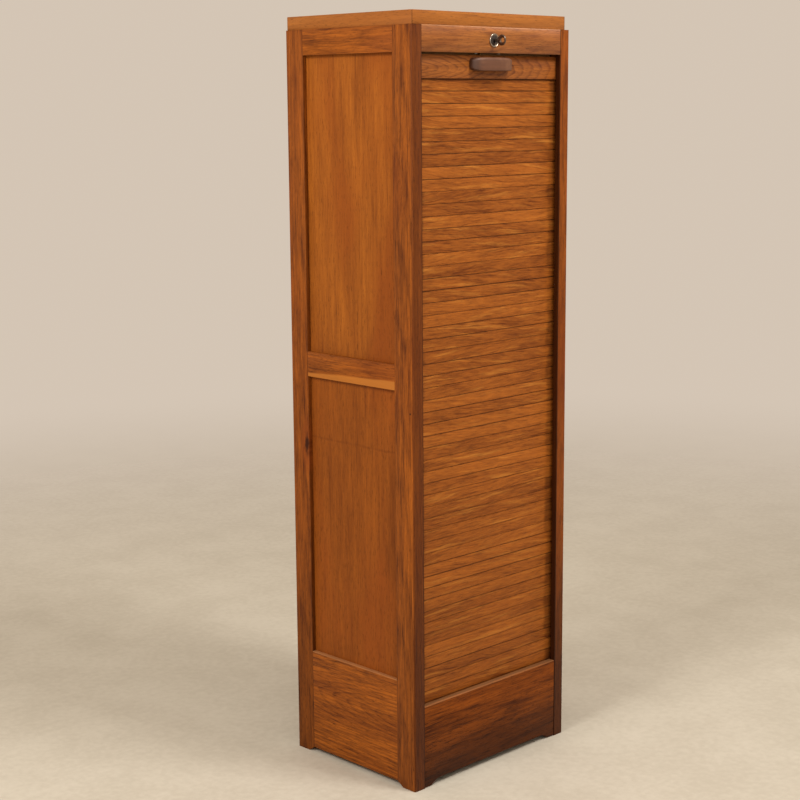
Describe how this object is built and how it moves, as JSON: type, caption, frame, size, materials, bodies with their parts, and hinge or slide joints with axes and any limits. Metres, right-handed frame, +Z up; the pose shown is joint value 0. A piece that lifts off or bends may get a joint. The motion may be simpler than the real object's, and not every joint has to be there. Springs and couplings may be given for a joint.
{
  "type": "tambour filing cabinet",
  "caption": "Tall narrow frame-and-panel cabinet with a falling slatted shutter, pull handle and keyed lock, holding a stack of paper trays.",
  "frame": {"origin": "on the floor, under the middle of the whole cabinet with its key", "axes": "+X to the right as seen from the front, +Y from the front to the back, +Z up"},
  "size_m": [0.448, 0.381, 1.51],
  "materials": {
    "frame_oak": "waxed oak, mid brown, long vertical grain",
    "panel_oak": "waxed oak, orange brown, plain vertical grain",
    "shutter_oak": "waxed oak slats, strong horizontal grain, tone varies from slat to slat",
    "lead_oak": "waxed oak with a bold figure",
    "plinth_oak": "waxed oak, reddish brown and darker towards the floor",
    "cap_oak": "waxed oak, worn along its edges",
    "handle_wood": "dark stained hardwood, satin",
    "back_board": "thin oak-faced board",
    "tray_oak": "plain light oak, thin clear finish",
    "inside_wood": "unfinished pale hardwood",
    "canvas": "glued canvas",
    "label_brass": "stamped brass",
    "rose_metal": "worn nickel plate over brass",
    "key_metal": "darkened steel",
    "lock_steel": "plain steel",
    "lock_brass": "plain brass"
  },
  "bodies": {
    "cabinet": {"front_left_post": "frame_oak", "front_right_post": "frame_oak", "rear_left_post": "frame_oak", "rear_right_post": "frame_oak", "left_top_rail": "frame_oak", "left_mid_rail": "frame_oak", "left_base_board": "frame_oak", "right_top_rail": "frame_oak", "right_mid_rail": "frame_oak", "right_base_board": "frame_oak", "left_upper_panel": "panel_oak", "left_lower_panel": "panel_oak", "right_upper_panel": "panel_oak", "right_lower_panel": "panel_oak", "left_track_board": "inside_wood", "right_track_board": "inside_wood", "front_top_rail": "frame_oak", "plinth_board": "plinth_oak", "rear_top_rail": "frame_oak", "rear_mid_rail": "frame_oak", "rear_base_rail": "frame_oak", "back_upper_panel": "back_board", "back_lower_panel": "back_board", "floor_board": "inside_wood", "ceiling_board": "inside_wood", "false_back": "back_board", "glue_blocks": "inside_wood", "cap_board": "cap_oak", "cap_left_lipping": "cap_oak", "cap_right_lipping": "cap_oak", "cap_front_lipping": "cap_oak", "cap_back_lipping": "cap_oak", "left_tray_runners": "inside_wood", "right_tray_runners": "inside_wood", "tray_1": "tray_oak", "tray_2": "tray_oak", "tray_3": "tray_oak", "tray_4": "tray_oak", "tray_5": "tray_oak", "tray_6": "tray_oak", "tray_7": "tray_oak", "tray_8": "tray_oak", "tray_9": "tray_oak", "tray_10": "tray_oak", "label_holders": "label_brass", "curtain_slats": "shutter_oak", "curtain_canvas": "canvas", "rose": "rose_metal", "lock_case": "lock_steel", "lock_screws": "lock_steel"},
    "shutter": {"lead_slat": "lead_oak", "handle": "handle_wood", "handle_screws": "lock_steel", "lock_staple": "lock_brass"},
    "key": {"key": "key_metal", "lock_hub": "lock_brass"},
    "bolt": {"lock_bolt": "lock_steel"}
  },
  "joints": [
    {"name": "shutter_slide", "type": "slide", "parent": "cabinet", "child": "shutter", "axis": [0, 0, -1], "range_m": [0, 1.215], "deforming": ["curtain_slats", "curtain_canvas"]},
    {"name": "key_turn", "type": "hinge", "parent": "cabinet", "child": "key", "pos_m": [0, -0.1595, 1.459], "axis": [0, 1, 0], "range_deg": [0, 90]},
    {"name": "bolt_slide", "type": "slide", "parent": "cabinet", "child": "bolt", "axis": [-1, 0, 0], "range_m": [0, 0.01]}
  ],
  "couplings": [
    {"joint": "bolt_slide", "follows": "key_turn", "m_per_rad": 0.006366}
  ]
}
